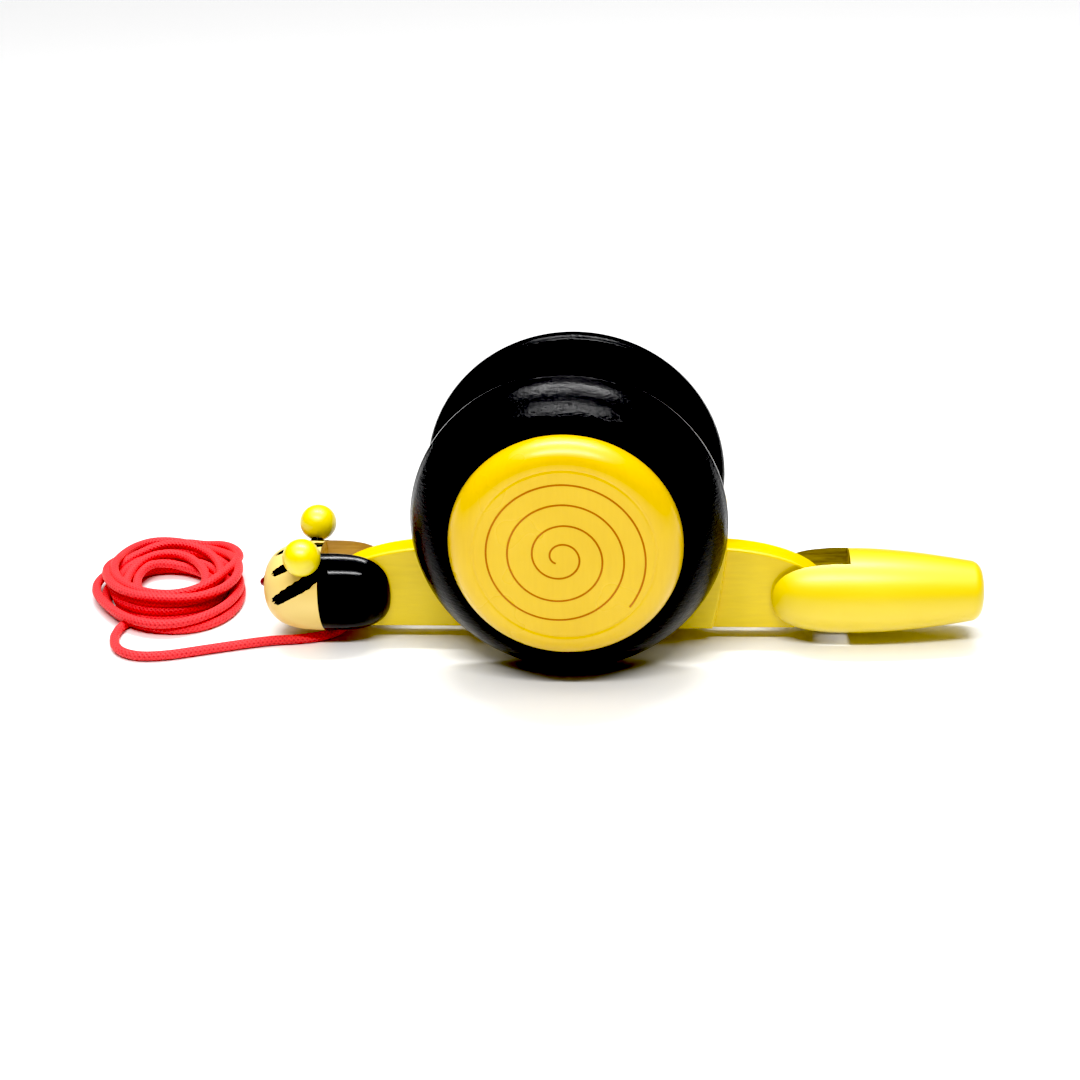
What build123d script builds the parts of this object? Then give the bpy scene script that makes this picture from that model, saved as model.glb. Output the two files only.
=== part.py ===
from build123d import *
from math import atan2, cos, degrees, pi, radians, sin, tan
import os

# Pull along toy: a snail-like figure on two fat wheels, with a hinged head, a hinged
# tail and a pull cord. Millimetres. The head points to -X, the tail to +X, +Z is up.
# Every length along X below is measured from the wheel axle. AXLE_X then moves the whole
# toy so that the origin is under the middle of the toy without its cord.

# Wheels and their axle
WHEEL_R = 50.0
WHEEL_IN = 16.5  # distances from the toy's middle plane: the wheel's inner face,
WHEEL_CREST = 19.5  # its largest radius
WHEEL_OUT = 34.8  # and its outer face
FLANK_IN = 2.5  # how far the rounded edge reaches inwards from the tread, inner side
FLANK_OUT = 13.8
FLANK_POWER = 1.7  # 2 is an ellipse, less is flatter
HUB_R = 14.0
HUB_GAP = 0.5  # between a hub boss and the cheek beside it
INNER_DISH = 2.0  # depth of the dish between hub boss and rim, on the inner face
AXLE_R = 5.0
AXLE_FIT = 0.1  # radial running clearance in the body's bore
CAP_R = 36.1
CAP_FACE_R = 28.5
CAP_EDGE = 0.5  # height of the cap's straight edge
CAP_HEIGHT = 8.2
CAP_SOCKET = 3.2  # how far the axle end goes into the cap
GROOVE_W = 1.3  # a shallow turned line round the cap's flat face
GROOVE_DEPTH = 0.2

# Body: a middle board between two shorter cheeks
BOARD_T = 9.0
BOARD_FLOOR = 5.0  # height of the flat underside
END_A = 38.5  # long half axis of the oval ends
END_B = 17.2
END_X = 45.0
END_Z = 17.0
HUMP_A = 41.0
HUMP_TOP = 66.0
BOARD_ROUND = 0.8
CHEEK_T = 3.0
CHEEK_X = 4.2
CHEEK_FOOT = 41.6  # half width at the foot
CHEEK_HALF = 46.3  # half width at its widest
CHEEK_WIDE_Z = 45.0
CHEEK_TOP = 68.0
CHEEK_FLOOR = 6.0
CHEEK_ROUND = 0.9

# Head: a barrel, slotted at the back for the board
HEAD_X = -82.8
HEAD_Z = 18.2
HEAD_HALF = 21.8
HEAD_R = 15.2
HEAD_POWER = 2.9  # 2 is an ellipsoid, more is squarer
HEAD_SLOT_END = -83.7
HEAD_SLOT_W = 10.0
PIVOT_X = 75.0  # distance of both hinge pins from the axle
PIVOT_Z = 17.0
PIN_R = 2.0
PIN_FIT = 0.08
PIN_INSIDE = 3.5  # how far a pin goes into the wall that hides its end
PIN_SUNK = 0.4
NOSE_R = 1.5
NOSE_X = -105.2
NOSE_Z = 19.4
BALL_R = 6.2
BALL_TILT = 39.0  # degrees from upright, to either side
BALL_X = -88.0
BALL_OUT = 21.8  # distance of a ball's centre from the head's axis
PEG_R = 2.2
PEG_IN = 4.0  # depth of a peg in the head
PEG_IN_BALL = 2.5

# Tail: a club, slotted at the front for the board
TAIL_START = 64.0
TAIL_WIDE = 91.0
TAIL_END = 133.2
TAIL_Z = 17.0
TAIL_R = 14.0
TAIL_END_R = 9.4
TAIL_POWER = 2.8
TAIL_ROUND = 4.0
TAIL_SLOT_END = 90.0
TAIL_SLOT_W = 12.4

# Cord: tied off in a hole in the board, laid along the floor, the rest coiled
CORD_D = 3.2
CORD_HOLE_R = 1.65
CORD_ROUTE = [  # points of the uncoiled stretch, the last one under the coil's edge
    (-71.5, 0.0, 9.9),
    (-76.6, -0.4, 4.6),
    (-81.4, -2.6, 1.6),
    (-86.4, -6.0, 1.6),
    (-93.6, -7.8, 1.6),
    (-104.0, -8.8, 1.6),
    (-123.9, -15.4, 1.6),
    (-135.6, -19.6, 1.6),
    (-146.2, -20.6, 1.6),
    (-154.2, -16.2, 1.6),
    (-157.8, -8.6, 1.6),
    (-158.2, -2.4, 1.6),
    (-157.2, 3.4, 1.6),
]
COIL_X, COIL_Y = -146.5, 26.0
COIL_HOLE_R = 9.2
COIL_R = 29.0
COIL_FRONT = 9.0  # height of the coil at the front
COIL_BACK = 14.0
COIL_ROUND = 3.0
KNOT_R = 3.6
KNOT_AT = (-153.0, 57.3, 3.6)

AXLE_X = -(NOSE_X - NOSE_R + TAIL_END) / 2
AXLE_Z = WHEEL_R


def place(shape):
    return Pos(AXLE_X, 0, 0) * shape


def save(shape, name):
    export_step(place(shape), f"parts/{name}.step")


def along_y(radius, low, high, x, z):
    """A cylinder across the toy, from y = low to y = high."""
    return Pos(x, (low + high) / 2, z) * Rot(90, 0, 0) * Cylinder(radius, high - low)


def board(outline, thickness, middle_y):
    """An upright board from a face drawn in X and Z."""
    flat = Plane.XZ * outline
    return Pos(0, middle_y, 0) * extrude(flat, thickness / 2, both=True)


def turned(outline_face, x, z):
    """A piece turned about an axis along X, from a face drawn as (length, radius)."""
    return Pos(x, 0, z) * revolve(outline_face, Axis.X)


def superellipse(half_length, radius, power, steps=9):
    """Points of a quarter superellipse, from its tip on the axis to its widest place."""
    angles = [radians(90 * i / steps) for i in range(steps + 1)]
    return [
        (-half_length * cos(a) ** (2 / power), radius * sin(a) ** (2 / power))
        for a in angles
    ]


# ---- wheels, caps and axle -------------------------------------------------------------


def wheel_profile():
    """Half section of a wheel as (radius, distance outwards from the middle plane)."""
    hub_face = BOARD_T / 2 + CHEEK_T + HUB_GAP
    dish = WHEEL_IN + INNER_DISH
    inner_edge = WHEEL_R - FLANK_IN
    quarter = superellipse(WHEEL_OUT - WHEEL_CREST, FLANK_OUT, FLANK_POWER)
    flank = [(WHEEL_R - FLANK_OUT + r, WHEEL_CREST - x) for x, r in quarter]
    outer = Spline(*flank, tangents=((1, 0), (0, -1)))
    corner = EllipticalCenterArc(
        (inner_edge, WHEEL_CREST), FLANK_IN, WHEEL_CREST - WHEEL_IN, -90, arc_size=90
    )
    faces = Polyline(
        (inner_edge, WHEEL_IN),
        (inner_edge - 8, WHEEL_IN),
        (inner_edge - 11, dish),
        (HUB_R + 2, dish),
        (HUB_R, hub_face),
        (AXLE_R, hub_face),
        (AXLE_R, WHEEL_OUT),
        flank[0],
    )
    return make_face([outer, corner, faces])


def cap_profile():
    """Half section of a cap as (radius, distance outwards from the middle plane)."""
    dome = CAP_HEIGHT - CAP_EDGE
    arc = EllipticalCenterArc((CAP_FACE_R, CAP_EDGE), CAP_R - CAP_FACE_R, dome, arc_size=90)
    lines = Polyline(
        (CAP_FACE_R, CAP_HEIGHT),
        (CAP_FACE_R - GROOVE_W / 2, CAP_HEIGHT - GROOVE_DEPTH),
        (CAP_FACE_R - GROOVE_W, CAP_HEIGHT),
        (0, CAP_HEIGHT),
        (0, CAP_SOCKET),
        (AXLE_R, CAP_SOCKET),
        (AXLE_R, 0),
        (CAP_R, 0),
        (CAP_R, CAP_EDGE),
    )
    return Pos(0, WHEEL_OUT) * make_face([arc, lines])


def wheel_side(profile, side):
    """Turns a (radius, outwards) section about the axle, on one side of the toy."""
    solid = revolve(Plane.XY * profile, Axis.Y)
    if side < 0:
        solid = mirror(solid, Plane.XZ)
    return Pos(0, 0, AXLE_Z) * solid


os.makedirs("parts", exist_ok=True)

for side, label in ((-1, "left"), (1, "right")):
    save(wheel_side(wheel_profile(), side), f"wheel_{label}")
    save(wheel_side(cap_profile(), side), f"cap_{label}")

axle_half = WHEEL_OUT + CAP_SOCKET
save(along_y(AXLE_R, -axle_half, axle_half, 0, AXLE_Z), "axle")


# ---- body: middle board and cheeks -----------------------------------------------------


def board_outline():
    """Oval ends, a flat underside and a hump that carries the axle."""
    height = 2 * END_B
    ends = [Pos(x, END_Z) * Ellipse(END_A, END_B) for x in (-END_X, END_X)]
    middle = Pos(0, END_Z) * Rectangle(2 * END_X, height)
    hump = Pos(0, END_Z) * Ellipse(HUMP_A, HUMP_TOP - END_Z)
    above_floor = Pos(0, BOARD_FLOOR + WHEEL_R) * Rectangle(4 * END_X + 8 * END_A, 2 * WHEEL_R)
    return (ends[0] + ends[1] + middle + hump) & above_floor


def cheek_outline():
    """A plate with bowed sides and a half-oval top."""
    foot_l, foot_r = CHEEK_X - CHEEK_FOOT, CHEEK_X + CHEEK_FOOT
    wide_l, wide_r = CHEEK_X - CHEEK_HALF, CHEEK_X + CHEEK_HALF
    # the side leaves its widest place upright, so the arc's centre is level with it
    bow, rise = CHEEK_HALF - CHEEK_FOOT, CHEEK_WIDE_Z - CHEEK_FLOOR
    bow_r = (rise**2 + bow**2) / (2 * bow)
    foot = Line((foot_l, CHEEK_FLOOR), (foot_r, CHEEK_FLOOR))
    right = RadiusArc((foot_r, CHEEK_FLOOR), (wide_r, CHEEK_WIDE_Z), -bow_r)
    left = RadiusArc((wide_l, CHEEK_WIDE_Z), (foot_l, CHEEK_FLOOR), -bow_r)
    top_height = CHEEK_TOP - CHEEK_WIDE_Z
    top = EllipticalCenterArc((CHEEK_X, CHEEK_WIDE_Z), CHEEK_HALF, top_height, arc_size=180)
    return make_face([foot, right, top, left])


def rounded(plate, faces, radius):
    """Rounds the rim of a plate where its flat faces meet its edge."""
    edges = ShapeList([edge for face in faces for edge in face.outer_wire().edges()])
    return fillet(edges, radius)


axle_bore = along_y(AXLE_R + AXLE_FIT, -WHEEL_R, WHEEL_R, 0, AXLE_Z)

middle_board = board(board_outline(), BOARD_T, 0)
middle_board = rounded(
    middle_board,
    [middle_board.faces().sort_by(Axis.Y)[0], middle_board.faces().sort_by(Axis.Y)[-1]],
    BOARD_ROUND,
)
middle_board -= axle_bore
for x in (-PIVOT_X, PIVOT_X):
    middle_board -= along_y(PIN_R + PIN_FIT, -BOARD_T, BOARD_T, x, PIVOT_Z)
cord_start, cord_next = Vector(*CORD_ROUTE[0]), Vector(*CORD_ROUTE[1])
middle_board -= extrude(
    Plane(cord_start, z_dir=cord_next - cord_start) * Circle(CORD_HOLE_R), 2 * BOARD_T
)
save(middle_board, "body_board")

for side, label in ((-1, "left"), (1, "right")):
    cheek_y = side * (BOARD_T + CHEEK_T) / 2
    cheek = board(cheek_outline(), CHEEK_T, cheek_y)
    outer_face = max(cheek.faces(), key=lambda face: side * face.center().Y)
    cheek = rounded(cheek, [outer_face], CHEEK_ROUND)
    save(cheek - axle_bore, f"cheek_{label}")


# ---- head ------------------------------------------------------------------------------


def barrel():
    """The head before it is slotted: a superellipse turned about X."""
    front = superellipse(HEAD_HALF, HEAD_R, HEAD_POWER)
    back = [(-x, r) for x, r in reversed(front)]
    curve = Spline(*front, *back[1:], tangents=((0, 1), (0, -1)))
    return make_face([curve, Line(back[-1], front[0])])


def slot(end_x, direction, width, z):
    """A saw slot from one end of a turned piece, right through it upwards."""
    length = 2 * HEAD_HALF
    return Pos(end_x + direction * length / 2, 0, z) * Box(length, width, 4 * HEAD_R)


def hinge_bore(x, slot_width):
    """A blind bore for a hinge pin, open on the right side of the toy."""
    return along_y(PIN_R, -slot_width / 2 - PIN_INSIDE, 2 * HEAD_R, x, PIVOT_Z)


def hinge_pin(x, slot_width, skin_y):
    """The pin glued into that bore, its end a little below the surface at skin_y."""
    return along_y(PIN_R, -slot_width / 2 - PIN_INSIDE, skin_y - PIN_SUNK, x, PIVOT_Z)


def radius_at(distance, half_length, radius, power):
    """Radius of a superellipse at a distance along the axis from its widest place."""
    return radius * (1 - (abs(distance) / half_length) ** power) ** (1 / power)


def outwards(side):
    """Unit direction of an antenna, square to the head's axis."""
    return Vector(0, side * sin(radians(BALL_TILT)), cos(radians(BALL_TILT)))


def antenna_rod(side, start, end):
    """A rod of the pegs' thickness along an antenna, from start to end off the axis."""
    foot = Vector(BALL_X, 0, HEAD_Z) + outwards(side) * start
    return extrude(Plane(foot, z_dir=outwards(side)) * Circle(PEG_R), end - start)


head_skin_y = radius_at(-PIVOT_X - HEAD_X, HEAD_HALF, HEAD_R, HEAD_POWER)
head = turned(barrel(), HEAD_X, HEAD_Z)
head -= slot(HEAD_SLOT_END, 1, HEAD_SLOT_W, HEAD_Z)
head -= hinge_bore(-PIVOT_X, HEAD_SLOT_W)

nose = Pos(NOSE_X, 0, NOSE_Z) * Sphere(NOSE_R)
head -= nose

peg_start = HEAD_R - PEG_IN
peg_end = BALL_OUT - BALL_R + PEG_IN_BALL
for side, label in ((-1, "left"), (1, "right")):
    peg = antenna_rod(side, peg_start, peg_end)
    ball = Pos(Vector(BALL_X, 0, HEAD_Z) + outwards(side) * BALL_OUT) * Sphere(BALL_R)
    head -= peg
    save(peg, f"antenna_peg_{label}")
    save(ball - peg, f"antenna_ball_{label}")

save(head, "head")
save(nose, "nose")
save(hinge_pin(-PIVOT_X, HEAD_SLOT_W, head_skin_y), "head_pin")


# ---- tail ------------------------------------------------------------------------------


def club():
    """The tail before it is slotted: a rounded front, a taper and a flat end."""
    front = superellipse(TAIL_WIDE - TAIL_START, TAIL_R, TAIL_POWER)
    length = TAIL_END - TAIL_WIDE
    shoulder = Spline(*front, tangents=((0, 1), (1, 0)))
    taper = Spline((0, TAIL_R), (length, TAIL_END_R), tangents=((1, 0), (2 * length, -TAIL_R)))
    end = Polyline((length, TAIL_END_R), (length, 0), front[0])
    return make_face([shoulder, taper, end])


tail_skin_y = radius_at(TAIL_WIDE - PIVOT_X, TAIL_WIDE - TAIL_START, TAIL_R, TAIL_POWER)
tail = turned(club(), TAIL_WIDE, TAIL_Z)
tail = fillet(tail.edges().filter_by(GeomType.CIRCLE).sort_by(Axis.X)[-1], TAIL_ROUND)
tail -= slot(TAIL_SLOT_END, -1, TAIL_SLOT_W, TAIL_Z)
tail -= hinge_bore(PIVOT_X, TAIL_SLOT_W)
save(tail, "tail")
save(hinge_pin(PIVOT_X, TAIL_SLOT_W, tail_skin_y), "tail_pin")


# ---- cord ------------------------------------------------------------------------------


def corner_radii(route):
    """For each corner, as large an arc as its two runs allow."""
    points = [Vector(*p) for p in route]
    radii = []
    for before, corner, after in zip(points, points[1:], points[2:]):
        run_in, run_out = corner - before, after - corner
        turn = radians(run_in.get_angle(run_out))
        radii.append(0.45 * min(run_in.length, run_out.length) / tan(turn / 2))
    return radii


radii = corner_radii(CORD_ROUTE)
cord_path = FilletPolyline(*CORD_ROUTE, radius=radii)
cord_section = Plane(cord_path @ 0, z_dir=cord_path % 0) * Circle(CORD_D / 2)
cord_lead = sweep(cord_section, path=cord_path)
expected = pi * (CORD_D / 2) ** 2 * cord_path.length
print("cord radii", [round(r, 1) for r in radii])
print("cord lead length", round(cord_path.length, 1), "volume ratio", round(cord_lead.volume / expected, 4))

ring = Rectangle(COIL_R - COIL_HOLE_R, COIL_BACK)
ring = fillet(ring.vertices(), COIL_ROUND)
ring = Pos((COIL_R + COIL_HOLE_R) / 2, COIL_BACK / 2) * ring
coil = revolve(Plane.XZ * ring, Axis.Z)
coil_slope = degrees(atan2(COIL_BACK - COIL_FRONT, 2 * COIL_R))
lid = Pos(0, -COIL_R, COIL_FRONT) * Rot(coil_slope, 0, 0) * Pos(0, COIL_R, COIL_R) * Box(
    4 * COIL_R, 6 * COIL_R, 2 * COIL_R
)
coil = Pos(COIL_X, COIL_Y, 0) * (coil - lid)
knot = Pos(*KNOT_AT) * Sphere(KNOT_R)
coil -= cord_lead + knot
save(cord_lead, "cord_lead")
save(coil, "cord_coil")
save(knot, "cord_end_knot")
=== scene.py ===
from math import cos, exp, pi, radians, sin, sqrt

import bpy
from mathutils import Matrix, Vector
from mathutils.bvhtree import BVHTree


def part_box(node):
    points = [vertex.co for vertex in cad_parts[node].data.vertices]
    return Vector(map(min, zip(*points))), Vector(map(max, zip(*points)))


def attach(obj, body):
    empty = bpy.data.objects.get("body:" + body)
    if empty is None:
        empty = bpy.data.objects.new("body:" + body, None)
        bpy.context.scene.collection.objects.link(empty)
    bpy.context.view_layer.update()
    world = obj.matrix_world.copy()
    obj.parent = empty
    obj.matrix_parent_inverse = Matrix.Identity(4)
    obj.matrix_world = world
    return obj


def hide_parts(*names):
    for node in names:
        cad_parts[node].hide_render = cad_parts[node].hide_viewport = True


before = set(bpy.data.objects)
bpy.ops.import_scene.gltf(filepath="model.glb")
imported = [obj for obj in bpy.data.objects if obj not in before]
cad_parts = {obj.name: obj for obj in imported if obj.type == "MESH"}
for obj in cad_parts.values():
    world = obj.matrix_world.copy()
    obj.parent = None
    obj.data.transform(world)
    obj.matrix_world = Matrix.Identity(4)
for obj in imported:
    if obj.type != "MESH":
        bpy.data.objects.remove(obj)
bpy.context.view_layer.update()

# Lengths below are in millimetres from the wheel axle along X, as in the CAD; at() turns
# them into metres in the row frame.
axle_low, axle_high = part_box("axle")
AXLE_X = (axle_low.x + axle_high.x) / 2
MM = 0.001


def at(x, y, z):
    return Vector((AXLE_X + x * MM, y * MM, z * MM))


# ---- camera ----------------------------------------------------------------------------

AZIMUTH, ELEVATION, ROLL = radians(5.3), radians(25.2), radians(-2.2)
DISTANCE = 0.526
TARGET = at(-10.94, 0, 35.13)

back = Vector((sin(AZIMUTH) * cos(ELEVATION), -cos(AZIMUTH) * cos(ELEVATION), sin(ELEVATION)))
level_right = Vector((cos(AZIMUTH), sin(AZIMUTH), 0))
level_up = back.cross(level_right)
right = level_right * cos(ROLL) + level_up * sin(ROLL)
up = level_up * cos(ROLL) - level_right * sin(ROLL)

camera_data = bpy.data.cameras.new("camera")
camera_data.lens = 53.13
camera_data.sensor_width = 36
camera = bpy.data.objects.new("camera", camera_data)
camera.matrix_world = Matrix.Translation(TARGET + back * DISTANCE) @ Matrix(
    (right, up, back)
).transposed().to_4x4()
bpy.context.scene.collection.objects.link(camera)
bpy.context.scene.camera = camera


# ---- making objects --------------------------------------------------------------------


def add_object(name, data):
    item = bpy.data.objects.new(name, data)
    bpy.context.scene.collection.objects.link(item)
    return item


def mesh_object(name, verts, faces, smooth=True):
    mesh = bpy.data.meshes.new(name)
    mesh.from_pydata([tuple(v) for v in verts], [], faces)
    mesh.update()
    for polygon in mesh.polygons:
        polygon.use_smooth = smooth
    return add_object(name, mesh)


# ---- shader helpers --------------------------------------------------------------------


def new_material(name):
    material = bpy.data.materials.new(name)
    material.use_nodes = True
    return material, material.node_tree, material.node_tree.nodes["Principled BSDF"]


def add(tree, kind, inputs=None, **settings):
    """Adds a shader node, sets its settings, and links or sets its inputs."""
    node = tree.nodes.new("ShaderNode" + kind)
    for key, value in settings.items():
        setattr(node, key, value)
    for key, value in (inputs or {}).items():
        if isinstance(value, bpy.types.NodeSocket):
            tree.links.new(value, node.inputs[key])
        else:
            node.inputs[key].default_value = value
    return node


def place(tree, scale=(1, 1, 1)):
    """Object coordinates, stretched."""
    coordinates = add(tree, "TexCoord").outputs["Object"]
    return add(tree, "Mapping", {"Vector": coordinates, "Scale": scale}).outputs["Vector"]


def speckle(tree, vector, scale, detail=3.0, roughness=0.55):
    inputs = {"Vector": vector, "Scale": scale, "Detail": detail, "Roughness": roughness}
    return add(tree, "TexNoise", inputs).outputs["Fac"]


def ramp(tree, value, low, high, out_low=0.0, out_high=1.0):
    inputs = {"Value": value, "From Min": low, "From Max": high}
    inputs |= {"To Min": out_low, "To Max": out_high}
    return add(tree, "MapRange", inputs).outputs["Result"]


def mix(tree, factor, a, b):
    node = add(tree, "Mix", data_type="RGBA")
    for index, value in ((0, factor), (6, a), (7, b)):
        if isinstance(value, bpy.types.NodeSocket):
            tree.links.new(value, node.inputs[index])
        else:
            node.inputs[index].default_value = value
    return node.outputs[2]


def maths(tree, operation, a, b=0.0, clamp=False):
    return add(tree, "Math", {0: a, 1: b}, operation=operation, use_clamp=clamp).outputs[0]


def bump(tree, height, strength, distance):
    inputs = {"Height": height, "Strength": strength, "Distance": distance}
    return add(tree, "Bump", inputs).outputs["Normal"]


def blend(tree, more, less):
    """Six parts of one value to four of another."""
    return maths(tree, "ADD", maths(tree, "MULTIPLY", more, 0.6), maths(tree, "MULTIPLY", less, 0.4))


def link(tree, output, target):
    tree.links.new(output, target)


def lacquer(name, colour, darker, rough, coat, grain_axis=0, peel=0.02, specular=0.5):
    """Paint on turned or sawn wood: soft mottling, faint grain showing through, orange peel."""
    material, tree, shader = new_material(name)
    stretch = [60.0, 60.0, 60.0]
    stretch[grain_axis] = 7.0
    mottle = speckle(tree, place(tree), 45.0, 2.0)
    grain = speckle(tree, place(tree, stretch), 14.0, 4.0, 0.6)
    tone = blend(tree, mottle, grain)
    link(tree, mix(tree, ramp(tree, tone, 0.35, 0.62), darker, colour), shader.inputs["Base Color"])
    link(tree, ramp(tree, mottle, 0.3, 0.7, rough * 1.2, rough * 0.85), shader.inputs["Roughness"])
    fine = speckle(tree, place(tree), 900.0, 2.0)
    height = maths(tree, "ADD", maths(tree, "MULTIPLY", grain, 0.6), fine)
    link(tree, bump(tree, height, 0.35, peel * MM), shader.inputs["Normal"])
    shader.inputs["Specular IOR Level"].default_value = specular
    shader.inputs["Coat Weight"].default_value = coat
    shader.inputs["Coat Roughness"].default_value = 0.28
    return material


yellow_cap = lacquer(
    "yellow_cap_paint", (0.78, 0.515, 0.008, 1), (0.74, 0.475, 0.006, 1), 0.3, 0.25, grain_axis=2
)
yellow_board = lacquer(
    "yellow_board_paint", (0.88, 0.655, 0.010, 1), (0.79, 0.57, 0.008, 1), 0.4, 0.4, specular=0.45
)
yellow_ball = lacquer("yellow_ball_paint", (0.84, 0.70, 0.014, 1), (0.80, 0.65, 0.012, 1), 0.4, 0.8)
red_paint = lacquer("nose_paint", (0.22, 0.012, 0.02, 1), (0.16, 0.008, 0.014, 1), 0.3, 0.3)
black_gloss = lacquer(
    "black_gloss_paint", (0.003, 0.003, 0.004, 1), (0.0015, 0.0015, 0.002, 1), 0.14, 0.0, specular=0.15
)


def black_satin(name):
    """The wheels: near-black satin lacquer over open grain, a little sparkly in the light."""
    material, tree, shader = new_material(name)
    vector = place(tree)
    pores = speckle(tree, place(tree, (1, 1, 5.5)), 330.0, 3.0, 0.6)
    fine = speckle(tree, vector, 1500.0, 2.0)
    broad = speckle(tree, vector, 38.0, 2.0)
    black, charcoal = (0.0015, 0.0015, 0.002, 1), (0.004, 0.004, 0.005, 1)
    link(tree, mix(tree, ramp(tree, pores, 0.35, 0.7), black, charcoal), shader.inputs["Base Color"])
    uneven = ramp(tree, broad, 0.3, 0.7, 0.05, -0.05)
    rough = maths(tree, "ADD", ramp(tree, pores, 0.3, 0.7, 0.28, 0.14), uneven)
    link(tree, rough, shader.inputs["Roughness"])
    grit = speckle(tree, place(tree, (1, 1, 1.6)), 430.0, 3.0, 0.75)
    small = maths(tree, "ADD", grit, maths(tree, "MULTIPLY", fine, 0.3))
    height = maths(tree, "ADD", maths(tree, "MULTIPLY", pores, 0.5), small)
    link(tree, bump(tree, height, 1.0, 0.14 * MM), shader.inputs["Normal"])
    shader.inputs["Specular IOR Level"].default_value = 0.19
    return material


def bare_wood(name, light, dark, rough=0.6, axis=0):
    material, tree, shader = new_material(name)
    stretch = [1.0, 1.0, 1.0]
    stretch[axis] = 0.09
    grain = speckle(tree, place(tree, stretch), 420.0, 5.0, 0.65)
    broad = speckle(tree, place(tree, stretch), 90.0, 2.0)
    tone = blend(tree, grain, broad)
    link(tree, mix(tree, ramp(tree, tone, 0.36, 0.64), dark, light), shader.inputs["Base Color"])
    shader.inputs["Roughness"].default_value = rough
    link(tree, bump(tree, grain, 0.5, 0.08 * MM), shader.inputs["Normal"])
    return material


wheel_paint = black_satin("wheel_paint")
dowel_wood = bare_wood("dowel_wood", (0.72, 0.50, 0.26, 1), (0.55, 0.35, 0.16, 1), 0.5, 1)


def between(tree, value, low, high, soft):
    """1 where value lies between low and high, with soft edges."""
    rise = ramp(tree, value, low - soft, low + soft)
    fall = ramp(tree, value, high - soft, high + soft, 1.0, 0.0)
    return maths(tree, "MULTIPLY", rise, fall)


def slotted(name, paints, slot_half, slot_from, slot_to, slot_wall_wood_and_shade, rough, split_x=None, coat=0.0):
    """Paint outside and, on the slot's walls, their own two colours: raw sawn wood in the head, dark
    olive painted shade in the tail; split_x is where two paints meet.

    Places are in millimetres from the wheel axle.
    """
    to_frame = [at(x, 0, 0).x for x in (slot_from, slot_to)]
    edge = 0.02 * MM
    material, tree, shader = new_material(name)
    coordinates = add(tree, "TexCoord").outputs["Object"]
    parts = add(tree, "SeparateXYZ", {"Vector": coordinates})
    x, y = parts.outputs["X"], parts.outputs["Y"]
    in_slot = maths(
        tree,
        "MULTIPLY",
        between(tree, y, -slot_half * MM, slot_half * MM, edge),
        between(tree, x, *to_frame, edge),
    )
    fine = speckle(tree, place(tree), 900.0, 2.0)
    grain = speckle(tree, place(tree, (0.09, 1, 1)), 420.0, 5.0, 0.65)
    broad = speckle(tree, place(tree, (0.3, 1, 1)), 70.0, 2.0)
    painted = mix(tree, ramp(tree, broad, 0.3, 0.7), *paints[0])
    roughness = rough[0]
    if split_x is not None:
        beyond = ramp(tree, x, at(split_x - 0.05, 0, 0).x, at(split_x + 0.05, 0, 0).x)
        other = mix(tree, ramp(tree, broad, 0.3, 0.7), *paints[1])
        painted = mix(tree, beyond, painted, other)
        roughness = ramp(tree, beyond, 0, 1, rough[0], rough[1])
    # Slot wall colours: bare wood in the head, painted shade in the tail.
    slot_wall_tone = mix(tree, ramp(tree, grain, 0.35, 0.65), *slot_wall_wood_and_shade)
    link(tree, mix(tree, in_slot, painted, slot_wall_tone), shader.inputs["Base Color"])
    worn = maths(tree, "MULTIPLY", in_slot, 0.75)
    link(tree, maths(tree, "MAXIMUM", roughness, worn), shader.inputs["Roughness"])
    height = maths(tree, "ADD", fine, maths(tree, "MULTIPLY", grain, maths(tree, "ADD", in_slot, 0.15)))
    link(tree, bump(tree, height, 0.4, 0.03 * MM), shader.inputs["Normal"])
    shader.inputs["Specular IOR Level"].default_value = 0.18
    dry = maths(tree, "SUBTRACT", 1.0, in_slot)
    link(tree, maths(tree, "MULTIPLY", dry, coat), shader.inputs["Coat Weight"])
    shader.inputs["Coat Roughness"].default_value = 0.35
    return material


HAIR_X = -83.9  # edge of the black hair
HEAD_SLOT_END, TAIL_SLOT_END = -83.76, 90.06  # a hair beyond the sawn ends, so these take the slot walls' colours too
HEAD_SLOT_HALF, TAIL_SLOT_HALF = 5.04, 6.24
head_paint = slotted(
    "head_paint",
    [
        [(0.78, 0.55, 0.17, 1), (0.87, 0.66, 0.24, 1)],
        [(0.002, 0.002, 0.0025, 1), (0.004, 0.004, 0.005, 1)],
    ],
    HEAD_SLOT_HALF,
    HEAD_SLOT_END,
    -40,
    [(0.42, 0.25, 0.10, 1), (0.60, 0.42, 0.18, 1)],
    (0.32, 0.13),
    HAIR_X,
)
tail_paint = slotted(
    "tail_paint",
    [[(0.79, 0.595, 0.022, 1), (0.83, 0.64, 0.030, 1)]],
    TAIL_SLOT_HALF,
    40,
    TAIL_SLOT_END,
    # The tail slot's walls are dark olive, the yellow paint as it looks in shade: painted shade, not
    # the wood's own colour.
    [(0.22, 0.17, 0.03, 1), (0.58, 0.47, 0.09, 1)],
    (0.34,),
    coat=1.0,
)


# ---- cord: its lead and its coil are one spline ----------------------------------------

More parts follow.
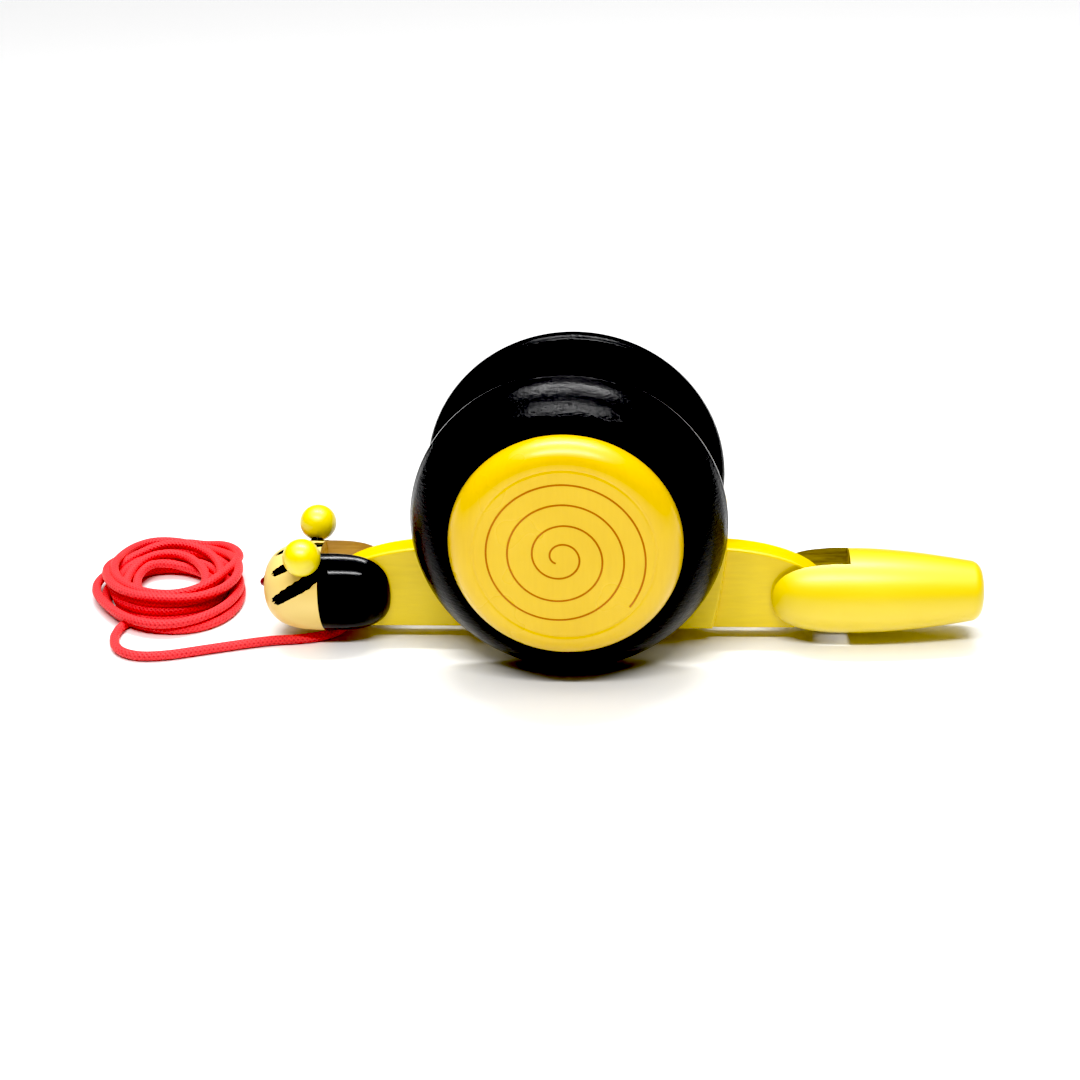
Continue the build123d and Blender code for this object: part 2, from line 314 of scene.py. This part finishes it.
CORD_D = 3.2
LEAD = [
    (-71.5, 0.0, 9.9),
    (-76.6, -0.4, 4.6),
    (-81.4, -2.6, 1.6),
    (-86.4, -6.0, 1.6),
    (-93.6, -7.8, 1.6),
    (-104.0, -8.8, 1.6),
    (-123.9, -15.4, 1.6),
    (-135.6, -19.6, 1.6),
    (-146.2, -20.6, 1.6),
    (-154.2, -16.2, 1.6),
    (-157.8, -8.6, 1.6),
    (-158.2, -2.4, 1.6),
    (-157.2, 3.4, 1.6),
]
COIL_CENTRE = (-148.0, 26.5)
DEPTH = 1.08  # the turns are a little longer from front to back than across
SHEAR = 0.2  # and lean to the left towards the back
TURNS = [  # each turn's radius and how far its centre is from the coil's, in X and Y
    (16.0, 0.0, -0.5),
    (20.5, 1.0, 0.0),
    (25.5, 1.5, -0.5),
    (26.0, 1.5, -1.0),
    (20.5, 0.5, 1.0),
    (15.0, 0.5, 2.0),
    (12.7, 0.0, 1.0),
    (17.5, 0.0, 3.0),
    (23.0, 0.0, 4.5),
    (25.0, 0.5, 5.0),
    (21.5, 0.0, 6.0),
    (24.0, 0.5, 5.5),
]
# Slack places: the turn they are on, how far they spread in turns, and how far out they reach.
LOOSE = [(2.77, 0.07, 3.4), (8.57, 0.07, 4.5), (9.57, 0.09, 6.5)]
LAST_TURN = 10.2
OUT_TO_KNOT = [
    (-124.3, 37.5),
    (-126.6, 44.5),
    (-131.0, 51.0),
    (-136.8, 55.4),
    (-143.5, 57.8),
    (-149.5, 58.0),
    (-153.0, 57.3),
]
STEPS = 24
START = radians(262)


def coil_plan():
    """Where the turns run, seen from above."""
    points = []
    for k in range(int(STEPS * LAST_TURN) + 1):
        t = k / STEPS
        i = int(t)
        f = (t - i) ** 2 * (3 - 2 * (t - i))
        radius, dx, dy = [a + (b - a) * f for a, b in zip(TURNS[i], TURNS[i + 1])]
        angle = START + 2 * pi * t
        radius += 0.6 * sin(2 * angle + 1.7 * t) + 0.35 * sin(3 * angle + 2.3 * t)
        radius += sum(out * exp(-(((t - turn) / spread) ** 2)) for turn, spread, out in LOOSE)
        y = DEPTH * radius * sin(angle)
        x = radius * cos(angle) - SHEAR * y
        points.append((COIL_CENTRE[0] + dx + x, COIL_CENTRE[1] + dy + y))
    return points + OUT_TO_KNOT


def pile(plan):
    """Lays the cord down along its plan: each place rests on what lies there already."""
    heights = []
    for k, (x, y) in enumerate(plan):
        z = CORD_D / 2
        for (qx, qy), below in zip(plan[: max(0, k - 6)], heights):
            gap = (qx - x) ** 2 + (qy - y) ** 2
            if gap < CORD_D**2:
                z = max(z, below + sqrt(CORD_D**2 - gap))
        heights.append(z)
    return heights


def smoothed(values, reach):
    """The cord rides over the high places and doesn't dip into every low one."""
    count = len(values)
    high = [max(values[max(0, i - 1) : i + 2]) for i in range(count)]
    spans = [high[max(0, i - reach) : i + reach + 1] for i in range(count)]
    return [sum(span) / len(span) for span in spans]


plan = coil_plan()
coil_points = [(x, y, z) for (x, y), z in zip(plan, smoothed(pile(plan), 2))]
cord_points = [at(*p) for p in LEAD + coil_points]

route = bpy.data.curves.new("cord_route", "CURVE")
route.dimensions = "3D"
spline = route.splines.new("NURBS")
spline.points.add(len(cord_points) - 1)
for point, position in zip(spline.points, cord_points):
    point.co = (*position, 1)
spline.order_u = 3
spline.use_endpoint_u = True
spline.resolution_u = 6
route_object = add_object("cord_route", route)
bpy.context.view_layer.update()
route_mesh = bpy.data.meshes.new_from_object(route_object)
path = [v.co.copy() for v in route_mesh.vertices]
bpy.data.objects.remove(route_object)


def tube(name, line, radius, sides=14):
    """A round tube along a line, with its length and girth in its UV map, in metres."""
    verts, faces, lengths = [], [], [0.0]
    tangent = (line[1] - line[0]).normalized()
    side = tangent.orthogonal().normalized()
    for i, centre in enumerate(line):
        ahead = line[min(i + 1, len(line) - 1)] - line[max(i - 1, 0)]
        tangent = ahead.normalized()
        side = (side - tangent * side.dot(tangent)).normalized()
        other = tangent.cross(side)
        for j in range(sides):
            angle = 2 * pi * j / sides
            verts.append(centre + (side * cos(angle) + other * sin(angle)) * radius)
        if i:
            lengths.append(lengths[-1] + (centre - line[i - 1]).length)
    for i in range(len(line) - 1):
        for j in range(sides):
            k = (j + 1) % sides
            faces.append((i * sides + j, i * sides + k, (i + 1) * sides + k, (i + 1) * sides + j))
    last = (len(line) - 1) * sides
    faces += [tuple(reversed(range(sides))), tuple(range(last, last + sides))]
    made = mesh_object(name, verts, faces)
    layer = made.data.uv_layers.new(name="along")
    girth = 2 * pi * radius
    for n, polygon in enumerate(made.data.polygons[:-2]):
        i, j = divmod(n, sides)
        corners = ((i, j), (i, j + 1), (i + 1, j + 1), (i + 1, j))
        for loop, (row, column) in zip(polygon.loop_indices, corners):
            layer.data[loop].uv = (lengths[row], column / sides * girth)
    return made


STRANDS, PITCH = 6, 1.5  # strands each way round the cord, and one's step along it


def braid(name, colour, painted_groove_shade):
    """Fine round braid: two sets of diagonal strands, with painted shade darkening the grooves between
    them.
    """
    material, tree, shader = new_material(name)
    uv = add(tree, "UVMap", uv_map="along").outputs["UV"]
    parts = add(tree, "SeparateXYZ", {"Vector": uv})
    girth = pi * CORD_D * MM
    around = maths(tree, "MULTIPLY", parts.outputs["Y"], 2 * pi * STRANDS / girth)
    along = maths(tree, "MULTIPLY", parts.outputs["X"], 2 * pi / (PITCH * MM))
    one = maths(tree, "SINE", maths(tree, "ADD", along, around))
    two = maths(tree, "SINE", maths(tree, "SUBTRACT", along, around))
    weave = maths(tree, "MAXIMUM", one, two)
    fuzz = speckle(tree, place(tree), 2500.0, 3.0)
    tone = maths(tree, "ADD", ramp(tree, weave, -0.4, 1.0), maths(tree, "MULTIPLY", fuzz, 0.35))
    # Painted shade: the grooves between the strands are coloured darker.
    link(tree, mix(tree, ramp(tree, tone, 0.2, 1.1), painted_groove_shade, colour), shader.inputs["Base Color"])
    height = maths(tree, "ADD", weave, maths(tree, "MULTIPLY", fuzz, 0.5))
    link(tree, bump(tree, height, 0.7, 0.16 * MM), shader.inputs["Normal"])
    shader.inputs["Roughness"].default_value = 0.62
    shader.inputs["Sheen Weight"].default_value = 0.35
    shader.inputs["Sheen Roughness"].default_value = 0.4
    shader.inputs["Sheen Tint"].default_value = (1.0, 0.35, 0.3, 1)
    return material


def knot_line(middle, size=0.85, sink=0.55, steps=96):
    """The line of a pulled-tight overhand knot, a trefoil closed on itself."""
    line = []
    for k in range(steps + 1):
        a = 2 * pi * k / steps
        x, y = sin(a) + 2 * sin(2 * a), cos(a) - 2 * cos(2 * a)
        line.append(middle + Vector((x, y, -1.5 * sin(3 * a) - sink)) * size * MM)
    return line


# The second colour is painted shade in the braid's grooves.
red_cord = braid("red_cord", (0.96, 0.056, 0.064, 1), (0.72, 0.026, 0.034, 1))
cord = tube("pull_cord", path, CORD_D / 2 * MM)
cord.data.materials.append(red_cord)
knot_low, knot_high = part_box("cord_end_knot")
knot = tube("end_knot", knot_line((knot_low + knot_high) / 2), CORD_D / 2 * MM)
knot.data.materials.append(red_cord)
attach(knot, "body")
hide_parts("cord_end_knot")
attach(cord, "body")
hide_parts("cord_lead", "cord_coil")


# ---- painted details -------------------------------------------------------------------

CAP_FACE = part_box("cap_right")[1].y / MM  # distance of a cap's flat face from the middle
WHEEL_RADIUS = 50
SPIRAL_TURNS = 3.745
SPIRAL_START = radians(230)
SPIRAL_INNER, SPIRAL_PITCH = 2.1, 6.5  # first radius, and the step from turn to turn
SPIRAL_OFF = (-1.1, -0.8)  # its middle is a little off the cap's middle


def ribbon(name, line, width, lift):
    """A thin flat strip of paint along a line of (point, outward normal)."""
    verts, faces = [], []
    for i, (point, normal) in enumerate(line):
        ahead = line[min(i + 1, len(line) - 1)][0] - line[max(i - 1, 0)][0]
        side = ahead.cross(normal).normalized() * width * MM / 2
        verts += [point - side + normal * lift * MM, point + side + normal * lift * MM]
    for i in range(len(line) - 1):
        faces.append((2 * i, 2 * i + 2, 2 * i + 3, 2 * i + 1))
    return mesh_object(name, verts, faces)


def spiral(side, steps=480):
    """The spiral line on a cap's face. Seen from outside it winds outwards clockwise."""
    out = []
    for k in range(steps + 1):
        t = SPIRAL_TURNS * k / steps
        angle = SPIRAL_START - 2 * pi * t
        pinched = 1.3 * exp(-(((t - 1.0) / 0.35) ** 2))  # the second turn starts closer in
        radius = SPIRAL_INNER + SPIRAL_PITCH * t - pinched
        across, rise = radius * cos(angle) + SPIRAL_OFF[0], radius * sin(angle) + SPIRAL_OFF[1]
        spot = at(-side * across, side * CAP_FACE, WHEEL_RADIUS + rise)
        out.append((spot, Vector((0, side, 0))))
    return out


orange = lacquer(
    "spiral_paint", (0.50, 0.16, 0.004, 1), (0.42, 0.12, 0.003, 1), 0.4, 0.0, specular=0.3
)
for side, label in ((-1, "left"), (1, "right")):
    line = ribbon(f"spiral_{label}", spiral(side), 0.6, 0.04)
    line.data.materials.append(orange)
    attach(line, "wheelset")


HEAD_X, HEAD_Z = -82.8, 18.2
HEAD_HALF, HEAD_R, HEAD_POWER = 21.8, 15.2, 2.9
head_surface = BVHTree.FromObject(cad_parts["head"], bpy.context.evaluated_depsgraph_get())


def on_head(along, arc, lift):
    """A place on the head: along from the hair's edge, then round from the top to the left."""
    around = arc / HEAD_R
    out = Vector((0, -sin(around), cos(around)))
    axis_point = at(HAIR_X + along, 0, HEAD_Z)
    off_centre = abs(HAIR_X + along - HEAD_X) / HEAD_HALF
    radius = HEAD_R * (1 - off_centre**HEAD_POWER) ** (1 / HEAD_POWER) * MM
    spot = head_surface.ray_cast(axis_point + out * 0.03, -out)[0]
    if spot is not None and (spot - axis_point).length > radius - 0.3 * MM:
        radius = (spot - axis_point).length
    return axis_point + out * (radius + lift * MM)


def brush_stroke(name, points, width):
    """A painted lock of hair with a slightly domed back and a ragged end."""
    columns, rows = 13, 48
    verts, faces = [], []
    for j in range(columns):
        across = 2 * j / (columns - 1) - 1
        end = 0.94 + 0.06 * sin(9.0 * across + width) * cos(21.0 * across) - 0.04 * across**2
        for i in range(rows):
            t = end * i / (rows - 1) * (len(points) - 1)
            n = min(int(t), len(points) - 2)
            here, ahead = Vector(points[n]), Vector(points[n + 1])
            middle = here.lerp(ahead, t - n)
            before = Vector(points[max(n - 1, 0)])
            after = Vector(points[min(n + 2, len(points) - 1)])
            run = (ahead - before).lerp(after - here, t - n).normalized()
            part = t / (len(points) - 1)
            wobble = (1 + 0.07 * sin(9.0 * t + 3.0 * across)) * (1.06 - 0.4 * part**3)
            spot = middle + Vector((-run.y, run.x)) * across * width / 2 * wobble
            verts.append(on_head(spot.x, spot.y, 0.12 * (1 - across**4) - 0.02))
    for j in range(columns - 1):
        for i in range(rows - 1):
            a, b = j * rows + i, (j + 1) * rows + i
            faces.append((a, a + 1, b + 1, b))
    return mesh_object(name, verts, faces)


# Each lock's middle: along the axis from the hair's edge, and round from the top of the head.
OUTER_LOCK = [
    (0.6, 12.4),
    (-1.2, 13.7),
    (-4.1, 16.4),
    (-7.5, 18.4),
    (-11.0, 20.5),
    (-14.2, 23.0),
    (-16.2, 24.8),
]
INNER_LOCK = [
    (0.1, 5.2),
    (-3.0, 6.3),
    (-6.5, 8.0),
    (-9.7, 9.6),
    (-12.1, 10.8),
    (-14.6, 11.9),
    (-16.4, 12.6),
]
MIDDLE_LOCK = [(0.1, 0.0), (-4.0, 0.3), (-8.0, 0.8), (-12.0, 1.5), (-16.6, 2.4)]
LOCKS = [("middle", MIDDLE_LOCK, 3.4)]
for label, side in (("left", 1), ("right", -1)):
    LOCKS.append((f"outer_{label}", [(x, side * arc) for x, arc in OUTER_LOCK], 4.5))
    LOCKS.append((f"inner_{label}", [(x, side * arc) for x, arc in INNER_LOCK], 3.8))
for label, points, width in LOCKS:
    lock = brush_stroke(f"hair_{label}", points, width)
    lock.data.materials.append(black_gloss)
    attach(lock, "head")


def on_face(y, z, lift):
    """A place on the front of the head."""
    spot = head_surface.ray_cast(at(-130, y, z), Vector((1, 0, 0)))[0]
    return spot - Vector((lift * MM, 0, 0))


def dot(name, y, z, radius):
    """A domed dot of paint on the front of the head."""
    rings, sides = 5, 24
    verts, faces = [on_face(y, z, 0.35)], []
    for i in range(1, rings + 1):
        for j in range(sides):
            a = 2 * pi * j / sides
            r = radius * i / rings
            lift = 0.37 * (1 - (i / rings) ** 2) - 0.02
            verts.append(on_face(y + r * cos(a), z + 1.15 * r * sin(a), lift))
    for j in range(sides):
        k = (j + 1) % sides
        faces.append((0, 1 + k, 1 + j))
        for i in range(rings - 1):
            row, above = 1 + i * sides, 1 + (i + 1) * sides
            faces.append((row + j, row + k, above + k, above + j))
    return mesh_object(name, verts, faces)


EYE_OUT, EYE_Z, EYE_R = 4.3, 22.6, 1.25
SMILE_HALF, SMILE_Z, SMILE_BEND, SMILE_STEPS = 4.6, 13.4, 0.075, 32
face_marks = [
    dot("eye_left", -EYE_OUT, EYE_Z, EYE_R),
    dot("eye_right", EYE_OUT, EYE_Z, EYE_R),
]
smile = []
for k in range(SMILE_STEPS + 1):
    y = SMILE_HALF * (2 * k / SMILE_STEPS - 1)
    smile.append((on_face(y, SMILE_Z + SMILE_BEND * y * y, 0), Vector((-1, 0, 0))))
face_marks.append(ribbon("smile", smile, 0.8, 0.06))
for mark in face_marks:
    mark.data.materials.append(black_gloss)
    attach(mark, "head")


# ---- CAD nodes take their materials ----------------------------------------------------

FINISHES = {
    "wheel_left": wheel_paint,
    "wheel_right": wheel_paint,
    "cap_left": yellow_cap,
    "cap_right": yellow_cap,
    "axle": dowel_wood,
    "body_board": yellow_board,
    "cheek_left": yellow_board,
    "cheek_right": yellow_board,
    "head": head_paint,
    "head_pin": dowel_wood,
    "nose": red_paint,
    "antenna_peg_left": black_gloss,
    "antenna_peg_right": black_gloss,
    "antenna_ball_left": yellow_ball,
    "antenna_ball_right": yellow_ball,
    "tail": tail_paint,
    "tail_pin": dowel_wood,
}
for name, material in FINISHES.items():
    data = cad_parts[name].data
    data.materials.clear()
    data.materials.append(material)


# ---- floor, light ----------------------------------------------------------------------

floor = mesh_object("floor", [(-6, -6, 0), (6, -6, 0), (6, 6, 0), (-6, 6, 0)], [(0, 1, 2, 3)])
floor.location.z = -0.0002
floor_material, floor_tree, floor_shader = new_material("floor_gloss")
floor_tone = speckle(floor_tree, place(floor_tree), 3.0)
link(
    floor_tree,
    mix(floor_tree, floor_tone, (0.95, 0.95, 0.95, 1), (0.97, 0.97, 0.97, 1)),
    floor_shader.inputs["Base Color"],
)
# Painted light: the floor glows, more the farther it lies from the toy, so the far floor stays white.
out_from_middle = add(floor_tree, "VectorMath", {0: place(floor_tree)}, operation="LENGTH")
painted_far_glow = ramp(floor_tree, out_from_middle.outputs["Value"], 0.35, 1.2, 0.0, 0.45)
floor_shader.inputs["Emission Color"].default_value = (1, 1, 1, 1)
link(floor_tree, painted_far_glow, floor_shader.inputs["Emission Strength"])
floor_shader.inputs["Roughness"].default_value = 0.25
floor_shader.inputs["Specular IOR Level"].default_value = 0.15
floor.data.materials.append(floor_material)

world = bpy.data.worlds.new("world")
world.use_nodes = True
sky = world.node_tree
sky_parts = add(sky, "SeparateXYZ", {"Vector": add(sky, "TexCoord").outputs["Generated"]})
overhead = ramp(sky, sky_parts.outputs["Z"], 0.0, 0.8, 0.25, 0.85)
backdrop = ramp(sky, sky_parts.outputs["Y"], 0.3, 0.9, 0.25, 1.3)
link(sky, maths(sky, "MAXIMUM", overhead, backdrop), sky.nodes["Background"].inputs["Strength"])
bpy.context.scene.world = world


def softbox(name, position, aim, size, power):
    data = bpy.data.lights.new(name, "AREA")
    data.shape = "RECTANGLE"
    data.size, data.size_y = size
    data.energy = power
    lamp = add_object(name, data)
    lamp.location = position
    lamp.rotation_mode = "QUATERNION"
    lamp.rotation_quaternion = (Vector(aim) - Vector(position)).to_track_quat("-Z", "Y")


sun_data = bpy.data.lights.new("overhead", "SUN")
sun_data.energy = 2.0
sun_data.angle = radians(80)
sun = add_object("overhead", sun_data)
sun.location = (0, 0, 1)

softbox("back_strip", (-0.02, 0.18, 1.0), (-0.02, 0, 0.08), (0.75, 0.045), 7.5)
softbox("front_strip", (-0.02, -0.55, 0.92), (-0.02, 0, 0.06), (0.75, 0.04), 7.0)

scene = bpy.context.scene
scene.view_settings.view_transform = "Standard"
scene.view_settings.use_curve_mapping = True
scene.view_settings.curve_mapping.black_level = (0.04, 0.04, 0.04)
scene.view_settings.curve_mapping.update()
